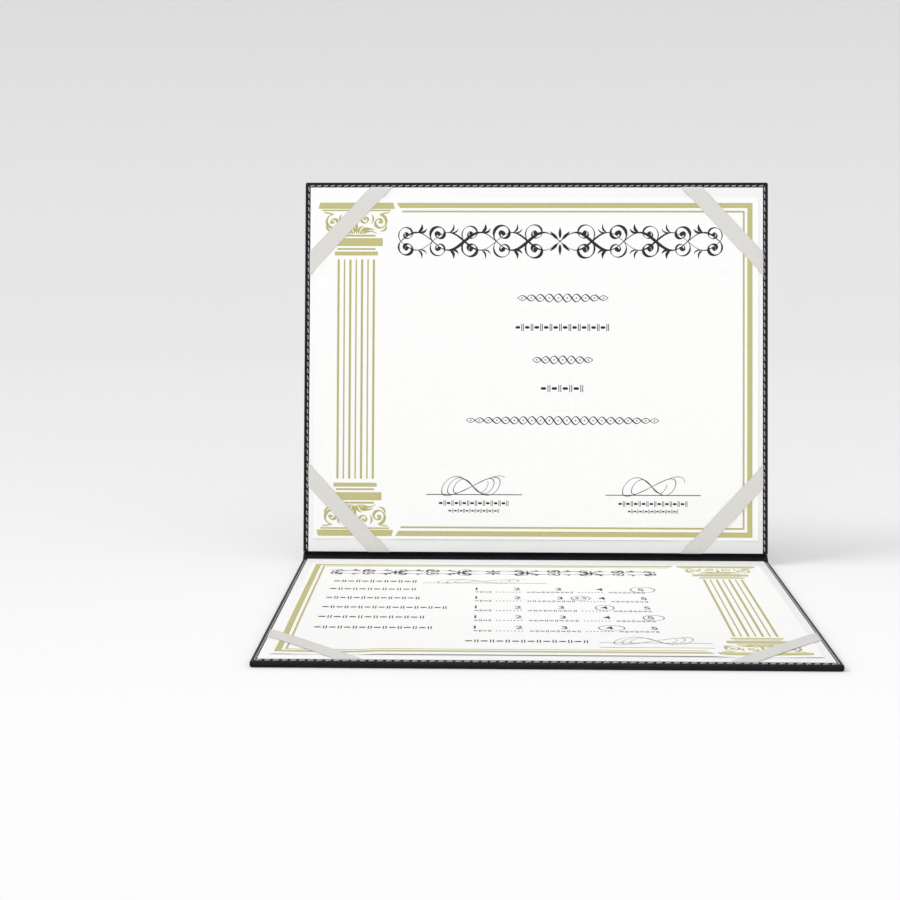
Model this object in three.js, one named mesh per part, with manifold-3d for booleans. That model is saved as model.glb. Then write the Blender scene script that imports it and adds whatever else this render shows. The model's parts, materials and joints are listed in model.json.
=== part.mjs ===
// Certificate holder that folds like a book: two boards wrapped in stitched leatherette, joined by a
// soft spine that bends along two creases. Each half carries a white card panel on its inner side,
// and ribbons across the panel's corners hold a printed sheet on it.
//
// Millimetres, +Z up. The base half lies on the table with the origin in the middle of its underside,
// the crease runs along X behind it, and the display half leans back from the far edge of the spine.

import * as THREE from "three";
import { mergeVertices } from "three/addons/utils/BufferGeometryUtils.js";
import Module from "manifold-3d";

const wasm = await Module();
wasm.setup();

// Certificate in the display half: a Letter sheet, landscape, and its margins on the card panel
const sheetWidth = 279.4;
const sheetHeight = 215.9;
const sheetThickness = 0.15;
const sheetSideMargin = 2.95;
const sheetFreeMargin = 6.3;
const sheetHingeMargin = 8;

// Form in the base half: a smaller sheet, given by its margins on the card panel
const formSideMargin = 4.8;
const formFreeMargin = 7.2;
const formHingeMargin = 14.6;

// Card panel on the inner side of each half, and the leatherette border left showing around it
const panelThickness = 0.3;
const border = 3.4;
const hingeBorder = 0.4;

// Leatherette cover, its board and its lining
const leather = 0.85;
const liningThickness = 0.4;
const boardThickness = 1.3;
const turnIn = 14;
const liningFlange = 16;
const foldEase = 0.15;
const cornerEase = 0.2;
const mitreSlit = 0.3;

// Ribbons: straight across a corner, wrapped round the panel's edges and tucked under it
const ribbonWidth = 10;
const ribbonThickness = 0.15;
const ribbonEdgeReach = 44.6;
const ribbonSideReach = 48;
const ribbonTail = 8;

// Lockstitch seam on the three free sides of each half
const stitchPitch = 4.3;
const threadWidth = 0.8;
const threadHeight = 0.4;
const seamToPanel = 1.1;
const seamSetback = 1;
const innerCrestProud = 0.4;
const outerCrestSunk = 0.03;
const innerDip = 0.45;
const outerDip = 0.2;

// Fold: the angle between the two halves as it stands, and the air left between them when closed
const openAngle = 100;
const closedClearance = 0.3;

// Clearances
const glueLine = 0.1;
const foldClearance = 0.2;
const seamClearance = 0.05;

// Smoothness of the round edges
const noseSegments = 4;
const cornerSegments = 6;
const creaseSegments = 10;

// Thickness of one half, from its outer face to its border, and the rounds of its folded edges: the
// leatherette turns round the board's square edge a little wider than its own thickness
const halfThickness = 2 * leather + 2 * glueLine + boardThickness;
const noseRadius = leather + foldEase;
const noseFlat = halfThickness - 2 * noseRadius;
const cornerRadius = noseRadius + cornerEase;

// Levels of the pieces above a half's outer face
const boardBottom = leather + glueLine;
const liningBottom = boardBottom + boardThickness + glueLine;
const tailBottom = halfThickness + glueLine;
const panelBottom = tailBottom + ribbonThickness + glueLine;
const sheetBottom = panelBottom + panelThickness + glueLine;
const ribbonBottom = sheetBottom + sheetThickness + glueLine;
const stackTop = ribbonBottom + ribbonThickness;

// Spine: the crease axes lie at the middle of its leatherette, as far apart as the closed holder needs
const creaseLevel = leather / 2;
const closedThickness = 2 * stackTop + closedClearance;
const spineWidth = closedThickness - 2 * creaseLevel;
const spineLiningBottom = creaseLevel + glueLine;
const spineLiningTop = spineLiningBottom + liningThickness;
const spineLiningInset = creaseLevel + foldClearance;
const creaseFold = THREE.MathUtils.degToRad((180 - openAngle) / 2);

// Places in a half, measured from its crease axis towards its free edge
const skinEdge = creaseLevel + foldClearance;
const wallFace = spineLiningTop + foldClearance;
const boardEdge = wallFace + liningThickness + glueLine;
const panelHingeEdge = wallFace + hingeBorder;
const panelFreeEdge = panelHingeEdge + sheetHingeMargin + sheetHeight + sheetFreeMargin;
const coverDepth = panelFreeEdge + border;
const seamStart = wallFace + seamSetback;
const seamEnd = panelFreeEdge + seamToPanel;

// Half widths of the pieces, measured from the middle of the holder
const panelHalf = sheetWidth / 2 + sheetSideMargin;
const coverHalf = panelHalf + border;
const cavityHalf = coverHalf - leather;
const boardHalf = cavityHalf - glueLine;
const windowHalf = coverHalf - turnIn;
const seamHalf = panelHalf + seamToPanel;

// A cut runs this far past the faces that it opens
const overrun = 10;

// Materials, one for each finish
const leatherette = { color: 0x2c2924, roughness: 0.55, metalness: 0 };
const liningCloth = { color: 0x17171b, roughness: 0.6, metalness: 0 };
const greyboard = { color: 0x8c8375, roughness: 0.95, metalness: 0 };
const whiteCard = { color: 0xf3f3f1, roughness: 0.8, metalness: 0 };
const paper = { color: 0xfafaf7, roughness: 0.85, metalness: 0 };
const satin = { color: 0xdcdad5, roughness: 0.45, metalness: 0 };
const thread = { color: 0xb9a896, roughness: 0.8, metalness: 0 };

// Solids and booleans

function solidOf(geometry) {
  const bare = geometry.clone();
  bare.deleteAttribute("normal");
  bare.deleteAttribute("uv");
  const welded = mergeVertices(bare);
  const mesh = new wasm.Mesh({
    numProp: 3,
    vertProperties: new Float32Array(welded.attributes.position.array),
    triVerts: new Uint32Array(welded.index.array),
  });
  return new wasm.Manifold(mesh);
}

function geometryOf(solid) {
  const mesh = solid.getMesh();
  const geometry = new THREE.BufferGeometry();
  geometry.setAttribute("position", new THREE.BufferAttribute(mesh.vertProperties, mesh.numProp));
  geometry.setIndex(new THREE.BufferAttribute(mesh.triVerts, 1));
  geometry.computeVertexNormals();
  return geometry;
}

function join(geometries) {
  const solids = geometries.map(solidOf);
  return geometryOf(solids.reduce((whole, piece) => whole.add(piece)));
}

function cut(body, tools) {
  return geometryOf(tools.map(solidOf).reduce((rest, tool) => rest.subtract(tool), solidOf(body)));
}

// Plans and slabs, in a half's own frame: X along the crease, Y from the crease axis to the free
// edge, Z from the outer face to the inner side

function rectangle(halfWidth, near, far) {
  const plan = new THREE.Shape();
  plan.moveTo(-halfWidth, near);
  plan.lineTo(halfWidth, near);
  plan.lineTo(halfWidth, far);
  plan.lineTo(-halfWidth, far);
  return plan;
}

function roundedPlan(halfWidth, near, far, radius) {
  const plan = new THREE.Shape();
  plan.moveTo(-halfWidth, near);
  plan.lineTo(halfWidth, near);
  plan.absarc(halfWidth - radius, far - radius, radius, 0, Math.PI / 2);
  plan.absarc(radius - halfWidth, far - radius, radius, Math.PI / 2, Math.PI);
  return plan;
}

function slab(plan, bottom, top) {
  const settings = { depth: top - bottom, bevelEnabled: false, curveSegments: cornerSegments };
  return new THREE.ExtrudeGeometry(plan, settings).translate(0, 0, bottom);
}

// A profile in Y and Z, drawn out along X to both sides of the middle

function alongCrease(profile, halfLength) {
  const settings = { depth: 2 * halfLength, bevelEnabled: false, curveSegments: creaseSegments };
  const drawn = new THREE.ExtrudeGeometry(profile, settings).translate(0, 0, -halfLength);
  const axes = [new THREE.Vector3(0, 1, 0), new THREE.Vector3(0, 0, 1), new THREE.Vector3(1, 0, 0)];
  return drawn.applyMatrix4(new THREE.Matrix4().makeBasis(...axes));
}

function profileBox(near, far, bottom, top) {
  const profile = new THREE.Shape();
  profile.moveTo(near, bottom);
  profile.lineTo(far, bottom);
  profile.lineTo(far, top);
  profile.lineTo(near, top);
  return profile;
}

// Leatherette cover: a bullet-nosed shell round the board, open at the hinge, with its edges turned
// in on the inner side, slit along the mitres and channelled for the two threads of the seam

function coverShell() {
  const plan = roundedPlan(coverHalf, -overrun, coverDepth, cornerRadius);
  const envelope = new THREE.ExtrudeGeometry(plan, {
    depth: noseFlat,
    bevelThickness: noseRadius,
    bevelSize: noseRadius,
    bevelOffset: -noseRadius,
    bevelSegments: noseSegments,
    curveSegments: cornerSegments,
  });
  return envelope.translate(0, 0, noseRadius);
}

function boardCavity() {
  const plan = roundedPlan(cavityHalf, -2 * overrun, coverDepth - leather, cornerRadius - leather);
  return slab(plan, leather, halfThickness - leather);
}

function turnInWindow() {
  const plan = rectangle(windowHalf, -2 * overrun, coverDepth - turnIn);
  return slab(plan, halfThickness / 2, halfThickness + overrun);
}

function hingeTrim() {
  const skinTrim = slab(rectangle(coverHalf + overrun, -2 * overrun, skinEdge), -overrun, overrun);
  const sideTrim = slab(rectangle(coverHalf + overrun, -2 * overrun, wallFace), leather, overrun);
  return [skinTrim, sideTrim];
}

function mitreSlits() {
  const diagonal = Math.SQRT2 * (turnIn - noseRadius);
  const cutDepth = leather + overrun;
  return [-1, 1].map((side) => {
    const slit = new THREE.BoxGeometry(mitreSlit, diagonal, cutDepth);
    slit.translate(0, diagonal / 2, cutDepth / 2);
    slit.rotateZ(-side * Math.PI / 4);
    return slit.translate(side * windowHalf, coverDepth - turnIn, halfThickness - leather);
  });
}

function seamChannel(bottom, top) {
  const reach = threadWidth / 2 + seamClearance;
  const start = seamStart - seamClearance;
  const plan = new THREE.Shape();
  plan.moveTo(-seamHalf - reach, start);
  plan.lineTo(-seamHalf - reach, seamEnd + reach);
  plan.lineTo(seamHalf + reach, seamEnd + reach);
  plan.lineTo(seamHalf + reach, start);
  plan.lineTo(seamHalf - reach, start);
  plan.lineTo(seamHalf - reach, seamEnd - reach);
  plan.lineTo(reach - seamHalf, seamEnd - reach);
  plan.lineTo(reach - seamHalf, start);
  return slab(plan, bottom, top);
}

const innerCrest = halfThickness + innerCrestProud - threadHeight / 2;
const innerHole = innerCrest - innerDip;
const outerCrest = outerCrestSunk + threadHeight / 2;
const outerHole = outerCrest + outerDip;

function makeCover() {
  const channelReach = threadHeight / 2 + seamClearance;
  return cut(coverShell(), [
    boardCavity(),
    turnInWindow(),
    ...hingeTrim(),
    ...mitreSlits(),
    seamChannel(innerHole - channelReach, halfThickness + overrun),
    seamChannel(-overrun, outerHole + channelReach),
  ]);
}

// Sewing thread: one unbroken strand that dips at each needle hole and rises between two holes.
// Each side of the half takes a whole number of stitches, so that its corners are holes.

function seamStations(crestLevel, holeLevel) {
  const corners = [
    new THREE.Vector2(-seamHalf, seamStart),
    new THREE.Vector2(-seamHalf, seamEnd),
    new THREE.Vector2(seamHalf, seamEnd),
    new THREE.Vector2(seamHalf, seamStart),
  ];
  const stations = [];
  for (let run = 0; run + 1 < corners.length; run += 1) {
    const [from, to] = [corners[run], corners[run + 1]];
    const steps = 2 * Math.round(from.distanceTo(to) / stitchPitch);
    for (let step = 0; step < steps; step += 1) {
      const place = from.clone().lerp(to, step / steps);
      stations.push({ place, level: step % 2 === 1 ? crestLevel : holeLevel });
    }
  }
  stations.push({ place: corners.at(-1), level: holeLevel });
  return stations;
}

function threadRings(stations) {
  return stations.map(({ place, level }, index) => {
    const before = stations[Math.max(index - 1, 0)].place;
    const after = stations[Math.min(index + 1, stations.length - 1)].place;
    const back = place.clone().sub(before).normalize();
    const ahead = after.clone().sub(place).normalize();
    const course = back.clone().add(ahead).normalize();
    const mitre = 1 / course.dot(index === 0 ? ahead : back);
    const sideways = new THREE.Vector3(course.y, -course.x, 0).multiplyScalar(mitre * threadWidth / 2);
    const upwards = new THREE.Vector3(0, 0, threadHeight / 2);
    const middle = new THREE.Vector3(place.x, place.y, level);
    return [sideways, upwards, sideways.clone().negate(), upwards.clone().negate()].map(
      (offset) => middle.clone().add(offset),
    );
  });
}

// Rings of points joined by quads, closed at both ends

function loft(rings) {
  const sides = rings[0].length;
  const index = [];
  for (let ring = 0; ring + 1 < rings.length; ring += 1) {
    for (let side = 0; side < sides; side += 1) {
      const here = ring * sides + side;
      const next = ring * sides + ((side + 1) % sides);
      index.push(here, here + sides, next + sides, here, next + sides, next);
    }
  }
  const last = (rings.length - 1) * sides;
  for (let side = 1; side + 1 < sides; side += 1) {
    index.push(0, side, side + 1);
    index.push(last, last + side + 1, last + side);
  }
  const geometry = new THREE.BufferGeometry().setFromPoints(rings.flat());
  geometry.setIndex(index);
  geometry.computeVertexNormals();
  return geometry;
}

function makeThread(crestLevel, holeLevel) {
  return loft(threadRings(seamStations(crestLevel, holeLevel)));
}

// Greyboard stiffener inside the cover

function makeBoard() {
  const radius = cornerRadius - leather - glueLine;
  const plan = roundedPlan(boardHalf, boardEdge, coverDepth - leather - glueLine, radius);
  return slab(plan, boardBottom, boardBottom + boardThickness);
}

// Lining over the board's hinge edge: a wall down to the skin and a flange under the card panel,
// which stays between the turned-in sides of the cover

function makeHingeLining() {
  const top = liningBottom + liningThickness;
  const wall = profileBox(wallFace, wallFace + liningThickness, boardBottom, boardBottom + boardThickness);
  const bend = profileBox(wallFace, wallFace + liningThickness, boardBottom, top);
  const flange = profileBox(wallFace, wallFace + liningFlange, liningBottom, top);
  const flangeHalf = windowHalf - glueLine;
  return join([
    alongCrease(wall, boardHalf),
    alongCrease(bend, flangeHalf),
    alongCrease(flange, flangeHalf),
  ]);
}

// Card panel and the sheets that lie on it

function makePanel() {
  const plan = rectangle(panelHalf, panelHingeEdge, panelFreeEdge);
  return slab(plan, panelBottom, panelBottom + panelThickness);
}

function makeSheet(sideMargin, hingeMargin, freeMargin) {
  const plan = rectangle(panelHalf - sideMargin, panelHingeEdge + hingeMargin, panelFreeEdge - freeMargin);
  return slab(plan, sheetBottom, sheetBottom + sheetThickness);
}

// Corner ribbon: its points are given as distances from the panel's two edges at that corner, and
// a distance below zero lies outside the panel. The strip reaches a little further down the side
// than along the other edge. Past each edge it turns down and runs on under the panel, mirrored at
// the edge as a folded strip is.

function ribbonEnd(reach, otherReach) {
  const outside = glueLine + ribbonThickness;
  const fromCorner = reach * otherReach / Math.hypot(reach, otherReach);
  const lean = reach / otherReach;
  const selvedge = (offset) => reach * (1 + offset / fromCorner) + outside * lean;
  const near = selvedge(-ribbonWidth / 2);
  const far = selvedge(ribbonWidth / 2);
  const drift = (ribbonTail + outside) * lean;
  const fold = [[near, -outside], [far, -outside]];
  return {
    fold,
    wall: [...fold, [far, -glueLine], [near, -glueLine]],
    tail: [...fold, [far + drift, ribbonTail], [near + drift, ribbonTail]],
  };
}

function makeRibbon(side, atFreeEdge) {
  const cornerY = atFreeEdge ? panelFreeEdge : panelHingeEdge;
  const inward = atFreeEdge ? -1 : 1;
  const polygon = (points) => new THREE.Shape(
    points.map(([across, along]) => new THREE.Vector2(
      side * (panelHalf - across),
      cornerY + inward * along,
    )),
  );
  const swap = (points) => points.map(([across, along]) => [along, across]);
  const edgeEnd = ribbonEnd(ribbonEdgeReach, ribbonSideReach);
  const sideEnd = ribbonEnd(ribbonSideReach, ribbonEdgeReach);
  const crossing = [...edgeEnd.fold, ...swap(sideEnd.fold).reverse()];
  const tailTop = tailBottom + ribbonThickness;
  return join([
    slab(polygon(crossing), ribbonBottom, stackTop),
    slab(polygon(edgeEnd.wall), tailBottom, stackTop),
    slab(polygon(swap(sideEnd.wall)), tailBottom, stackTop),
    slab(polygon(edgeEnd.tail), tailBottom, tailTop),
    slab(polygon(swap(sideEnd.tail)), tailBottom, tailTop),
  ]);
}

// Spine: a strip whose edges are round about the two crease axes, and the lining on its inner side

function makeSpineCover() {
  const profile = new THREE.Shape();
  profile.absarc(0, 0, creaseLevel, Math.PI / 2, 1.5 * Math.PI);
  profile.absarc(spineWidth, 0, creaseLevel, 1.5 * Math.PI, 2.5 * Math.PI);
  return alongCrease(profile, coverHalf);
}

function makeSpineLining() {
  const profile = profileBox(
    spineLiningInset,
    spineWidth - spineLiningInset,
    spineLiningBottom,
    spineLiningTop,
  );
  return alongCrease(profile, boardHalf);
}

// Assembly

function place(group, name, geometry, finish) {
  const mesh = new THREE.Mesh(geometry, new THREE.MeshStandardMaterial(finish));
  mesh.name = name;
  group.add(mesh);
}

function addHalf(group, half) {
  place(group, `${half}_cover`, makeCover(), leatherette);
  place(group, `${half}_board`, makeBoard(), greyboard);
  place(group, `${half}_hinge_lining`, makeHingeLining(), liningCloth);
  place(group, `${half}_insert_panel`, makePanel(), whiteCard);
  place(group, `${half}_outer_thread`, makeThread(outerCrest, outerHole), thread);
  place(group, `${half}_inner_thread`, makeThread(innerCrest, innerHole), thread);
}

const holder = new THREE.Group();

// The base half's free edge points to the front, so its own X runs to the left
const baseHalf = new THREE.Group();
baseHalf.position.y = coverDepth / 2;
baseHalf.rotation.z = Math.PI;
addHalf(baseHalf, "base");
const form = makeSheet(formSideMargin, formHingeMargin, formFreeMargin);
place(baseHalf, "base_certificate", form, paper);
place(baseHalf, "base_ribbon_front_left", makeRibbon(1, true), satin);
place(baseHalf, "base_ribbon_front_right", makeRibbon(-1, true), satin);
holder.add(baseHalf);

const spine = new THREE.Group();
spine.position.set(0, coverDepth / 2, creaseLevel);
spine.rotation.x = creaseFold;
place(spine, "spine_cover", makeSpineCover(), leatherette);
place(spine, "spine_lining", makeSpineLining(), liningCloth);
holder.add(spine);

const displayCrease = new THREE.Group();
displayCrease.position.y = spineWidth;
displayCrease.rotation.x = creaseFold;
spine.add(displayCrease);

const displayHalf = new THREE.Group();
displayHalf.position.z = -creaseLevel;
addHalf(displayHalf, "display");
const certificate = makeSheet(sheetSideMargin, sheetHingeMargin, sheetFreeMargin);
place(displayHalf, "display_certificate", certificate, paper);
place(displayHalf, "display_ribbon_top_left", makeRibbon(-1, true), satin);
place(displayHalf, "display_ribbon_top_right", makeRibbon(1, true), satin);
place(displayHalf, "display_ribbon_bottom_left", makeRibbon(-1, false), satin);
place(displayHalf, "display_ribbon_bottom_right", makeRibbon(1, false), satin);
displayCrease.add(displayHalf);

export default holder;
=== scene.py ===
# %% [markdown]
# A certificate holder that folds like a book
#
# Two boards are wrapped in brushed leatherette and stitched, a soft spine joins them, and ribbons
# hold a printed sheet on a white card panel in each half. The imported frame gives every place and
# size in metres. This file gives each piece its fine shape and its finish, and never moves a part.

# %% Load the frame
import json
import math

import bmesh
import bpy
from mathutils import Matrix, Vector

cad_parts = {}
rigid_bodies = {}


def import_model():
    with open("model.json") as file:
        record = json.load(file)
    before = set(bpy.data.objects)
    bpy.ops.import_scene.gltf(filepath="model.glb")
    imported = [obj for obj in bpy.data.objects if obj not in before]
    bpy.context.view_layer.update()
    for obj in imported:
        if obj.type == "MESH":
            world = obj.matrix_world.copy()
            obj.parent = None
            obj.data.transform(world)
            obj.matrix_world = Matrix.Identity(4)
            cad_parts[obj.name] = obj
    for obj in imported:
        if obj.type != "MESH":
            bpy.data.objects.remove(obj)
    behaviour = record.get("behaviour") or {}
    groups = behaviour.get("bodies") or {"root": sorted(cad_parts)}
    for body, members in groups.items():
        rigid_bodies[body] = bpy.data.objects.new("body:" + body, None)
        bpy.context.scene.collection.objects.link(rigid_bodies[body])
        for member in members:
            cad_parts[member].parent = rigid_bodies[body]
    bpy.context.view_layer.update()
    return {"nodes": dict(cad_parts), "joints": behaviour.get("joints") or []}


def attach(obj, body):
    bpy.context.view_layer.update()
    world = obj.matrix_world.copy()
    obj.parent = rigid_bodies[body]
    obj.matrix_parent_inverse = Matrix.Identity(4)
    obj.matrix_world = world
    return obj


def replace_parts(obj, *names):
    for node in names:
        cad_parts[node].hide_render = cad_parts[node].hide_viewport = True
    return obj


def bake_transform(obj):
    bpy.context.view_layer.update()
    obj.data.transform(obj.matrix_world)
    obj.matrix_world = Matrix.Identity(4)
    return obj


for leftover in list(bpy.data.objects):
    bpy.data.objects.remove(leftover)
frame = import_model()
MM = 0.001

# %% [markdown]
# The camera stands where the photographer stood. Its place, its angles and its lens were fitted to
# the corners of the sheet, the panel and the cover in a square picture, so it needs no shift.

# %% Camera
camera_data = bpy.data.cameras.new("camera")
camera_data.sensor_width = 36
camera_data.lens = 68.147
camera = bpy.data.objects.new("camera", camera_data)
camera.location = Vector((-25.43, -929.02, 232.69)) * MM
camera_dip = math.radians(8.666)
camera_turn = math.radians(1.521)
camera.rotation_euler = (math.pi / 2 - camera_dip, 0, camera_turn)
bpy.context.scene.collection.objects.link(camera)
bpy.context.scene.camera = camera
print("camera:", camera_data.lens, "mm lens")

# %% [markdown]
# Both halves are the same sewn board, so each piece is modelled once in a half's own frame: X runs
# along the crease, Y from the crease to the free edge, and Z from the outer face to the inner side.
# A matrix for each half then puts the mesh in its place.

# %% The own frame of each half
creases = {joint["name"]: Vector(joint["pos_m"]) for joint in frame["joints"]}
base_crease = creases["base_crease"]
display_crease = creases["display_crease"]
spine_run = display_crease - base_crease
fold = math.atan2(spine_run.z, spine_run.y)
crease_level = base_crease.z
half_frames = {
    "base": Matrix.Translation((0, base_crease.y, 0)) @ Matrix.Rotation(math.pi, 4, "Z"),
    "display": Matrix.Translation(display_crease)
    @ Matrix.Rotation(2 * fold, 4, "X")
    @ Matrix.Translation((0, 0, -crease_level)),
}


def local_box(node, half):
    """Lowest and highest corner of a node in the own frame of its half."""
    inverse = half_frames[half].inverted()
    points = [inverse @ vertex.co for vertex in frame["nodes"][node].data.vertices]
    low = Vector(min(point[axis] for point in points) for axis in range(3))
    high = Vector(max(point[axis] for point in points) for axis in range(3))
    return low, high


half_width, depth, thickness = local_box("base_cover", "base")[1]
panel_low, panel_high = local_box("base_insert_panel", "base")
wall_face = local_box("base_hinge_lining", "base")[0].y
spine_half = spine_run.length / 2
print("each half:", [round(size / MM, 2) for size in (2 * half_width, depth, thickness)], "mm")

# %% [markdown]
# A finish is a small graph of shader nodes. Writing it as sums and products keeps it readable, so
# one class wraps a socket and lends it Python's operators. One method makes every other node.

# %% Shader sums


def operator(operation):
    """A Math node as an operator, with the wire on its left side and on its right side."""
    return (
        lambda wire, other: wire.maths(operation, wire, other),
        lambda wire, other: wire.maths(operation, other, wire),
    )


class Wire:
    """A shader output. Sums and products of wires add Math nodes to their material."""

    def __init__(self, tree, socket=None):
        self.tree = tree
        self.socket = socket

    def node(self, kind, inputs=None, output=0, stops=(), **settings):
        """Adds a node, settings first, then its sockets' values or wires, and gives one output."""
        made = self.tree.nodes.new(kind)
        for setting, value in settings.items():
            setattr(made, setting, value)
        for position, colour in stops[1:-1]:
            made.color_ramp.elements.new(position).color = (*colour, 1)
        for index in (0, -1) if stops else ():
            made.color_ramp.elements[index].position = stops[index][0]
            made.color_ramp.elements[index].color = (*stops[index][1], 1)
        for key, value in (inputs or {}).items():
            if isinstance(value, Wire):
                self.tree.links.new(value.socket, made.inputs[key])
            else:
                made.inputs[key].default_value = value
        return Wire(self.tree, made.outputs[output])

    def maths(self, operation, first, second=0.0):
        """Any other Math node."""
        return self.node("ShaderNodeMath", {0: first, 1: second}, operation=operation)

    __add__, __radd__ = operator("ADD")
    __sub__, __rsub__ = operator("SUBTRACT")
    __mul__, __rmul__ = operator("MULTIPLY")

    def places(self, scale, output="Object"):
        """Coordinates on the piece, scaled, for a texture to read."""
        coordinates = self.node("ShaderNodeTexCoord", output=output)
        return self.node("ShaderNodeMapping", {"Vector": coordinates, "Scale": scale})

    def axis(self, number):
        """One of the three numbers of a place."""
        return self.node("ShaderNodeSeparateXYZ", {0: self}, output=number)

    def noise(self, scale, detail=2.0, output="Object"):
        """Noise whose grain is about one over scale long, alike on all axes or one for each."""
        scales = scale if isinstance(scale, tuple) else (scale, scale, scale)
        inputs = {"Vector": self.places(scales, output), "Scale": 1.0, "Detail": detail}
        return self.node("ShaderNodeTexNoise", inputs)

    def ramp(self, *stops):
        """A colour between stops, each a position and a colour."""
        return self.node("ShaderNodeValToRGB", {0: self}, stops=stops)

    def bump(self, height):
        """A Normal for a relief of that height in metres."""
        return self.node("ShaderNodeBump", {"Height": self, "Distance": height, "Strength": 1.0})


print("shader sums are ready")

# %% [markdown]
# A finish starts from Blender's own shader. Constants are set on its sockets by name, and wires are
# linked to the few sockets that vary over a piece.

# %% New finishes


def new_finish(name, **sockets):
    """A material with these constants on its shader, and a first wire in its tree."""
    material = bpy.data.materials.new(name)
    material.use_nodes = True
    shader = material.node_tree.nodes["Principled BSDF"]
    for socket, value in sockets.items():
        shader.inputs[socket.replace("_", " ")].default_value = value
    return material, Wire(material.node_tree)


def feed(material, **sockets):
    """Links wires to the shader's sockets."""
    shader = material.node_tree.nodes["Principled BSDF"]
    for socket, wire in sockets.items():
        material.node_tree.links.new(wire.socket, shader.inputs[socket.replace("_", " ")])


print("finishes can be mixed")

# %% [markdown]
# Every new piece ends the same way: its bmesh is put in place, its normals are made to point
# outwards, and it is shaded smooth. A flat sheet has no inside, so it keeps the side it was drawn on.
# Edges stay sharp where faces meet at a steep angle, and along the rim of an open sheet, because the
# sheet's thickness comes later and would be shaded round there.

# %% From bmesh to piece
cut_snap = 1e-7


def new_piece(name, bm, placing, *finishes, sharp=40, flat=False):
    """Makes an object of a bmesh whose place goes into the mesh."""
    if not flat:
        bmesh.ops.recalc_face_normals(bm, faces=bm.faces)
    bm.transform(placing)
    bm.normal_update()
    for face in bm.faces:
        face.smooth = True
    for edge in bm.edges:
        edge.smooth = edge.is_manifold and edge.calc_face_angle() < math.radians(sharp)
    mesh = bpy.data.meshes.new(name)
    bm.to_mesh(mesh)
    bm.free()
    for finish in finishes:
        mesh.materials.append(finish)
    piece = bpy.data.objects.new(name, mesh)
    bpy.context.scene.collection.objects.link(piece)
    print(name, "has", len(mesh.polygons), "faces")
    return piece


def thicken(piece, amount):
    """Gives a sheet its thickness on the side away from its normals."""
    modifier = piece.modifiers.new("thickness", "SOLIDIFY")
    modifier.thickness = amount
    modifier.offset = -1
    modifier.use_even_offset = True


def cut_across(bm, point, normal, clear=False):
    """Cuts every face along a plane, and takes away what lies before it if asked to."""
    everything = bm.verts[:] + bm.edges[:] + bm.faces[:]
    bmesh.ops.bisect_plane(
        bm, geom=everything, plane_co=point, plane_no=normal, dist=cut_snap, clear_inner=clear
    )


def draw_out(bm, edges, move):
    """Extrudes edges by a move, and gives the new edges and their vertices."""
    made = bmesh.ops.extrude_edge_only(bm, edges=edges)["geom"]
    verts = [item for item in made if isinstance(item, bmesh.types.BMVert)]
    bmesh.ops.translate(bm, vec=move, verts=verts)
    ends = set(verts)
    return [edge for edge in bm.edges if ends.issuperset(edge.verts)], verts


def edges_where(edges, holds):
    """Those edges whose two ends both meet a condition."""
    return [edge for edge in edges if all(holds(vert.co) for vert in edge.verts)]


def shares(steps):
    """Even shares from 0 to 1, both ends included."""
    return [step / steps for step in range(steps + 1)]


def ease(share):
    """Rises from 0 to 1 with no slope at either end."""
    share = min(max(share, 0.0), 1.0)
    return share * share * (3 - 2 * share)


print("piece tools are ready")

# %% [markdown]
# The leatherette is a dark brown sheet with a fine grain brushed along the spine. Streaks are noise
# drawn out along X and alike in Y and Z, so they run on round the fold and look the same on both
# halves. Where the sheet is turned round an edge it is the same leatherette, painted nearly black as
# painted shade, with lighter bluish specks of painted sheen in its grain.

# %% Leatherette
leatherette, wire = new_finish("leatherette", Specular_IOR_Level=0.05)
streaks = wire.noise((80, 640, 640), 5.0)
fibres = wire.noise((330, 2100, 2100), 3.0)
clouds = wire.noise((14, 40, 40), 1.0)
brushed = streaks * 0.66 + fibres * 0.50 + clouds * 0.14 - 0.15
colour = brushed.ramp(
    (0.38, (0.014, 0.0125, 0.0100)),
    (0.50, (0.042, 0.038, 0.031)),
    (0.58, (0.078, 0.070, 0.058)),
    (0.68, (0.125, 0.112, 0.095)),
)
feed(
    leatherette,
    Base_Color=colour,
    Roughness=0.74 - 0.28 * streaks,
    Normal=(streaks + fibres * 0.4).bump(0.06 * MM),
)

# A nearly black copy of the same leatherette for its turned edges: painted shade.
edge_leather_painted_shade, wire = new_finish("turned_edge_painted_shade", Specular_IOR_Level=0.14)
pebbles = wire.noise((700, 1300, 1300), 3.0)
wrinkles = wire.noise((90, 420, 420), 2.0)
# The pebble grain is real; its lighter bluish stops are painted sheen spots, a painted highlight.
colour = (pebbles * 0.6 + wrinkles * 0.4).ramp(
    (0.35, (0.0030, 0.0030, 0.0036)),
    (0.55, (0.0070, 0.0070, 0.0084)),
    (0.75, (0.0170, 0.0165, 0.0185)),
)
feed(
    edge_leather_painted_shade,
    Base_Color=colour,
    Roughness=0.30 + 0.34 * pebbles,
    Normal=(pebbles * 0.6 + wrinkles).bump(0.12 * MM),
)
print("leatherette and its dark edge are mixed")

# %% [markdown]
# The cover is one sheet of leatherette folded round a board. It could be unfolded and bent, but its
# outer side is simply a block with rounded edges, so that is where it starts. The block runs on past
# the hinge, where it is cut open later.

# %% Rounded block
leather = 0.85 * MM
nose_radius = 1.0 * MM
corner_radius = 1.2 * MM
round_steps = 5
flat_facing = 0.9
overrun = 40 * MM


def round_off(bm, edges, radius, segments):
    """Rounds edges off with that many facets."""
    bmesh.ops.bevel(
        bm, geom=edges, offset=radius, segments=segments, profile=0.5, affect="EDGES",
        material=-1, clamp_overlap=False,
    )


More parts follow.
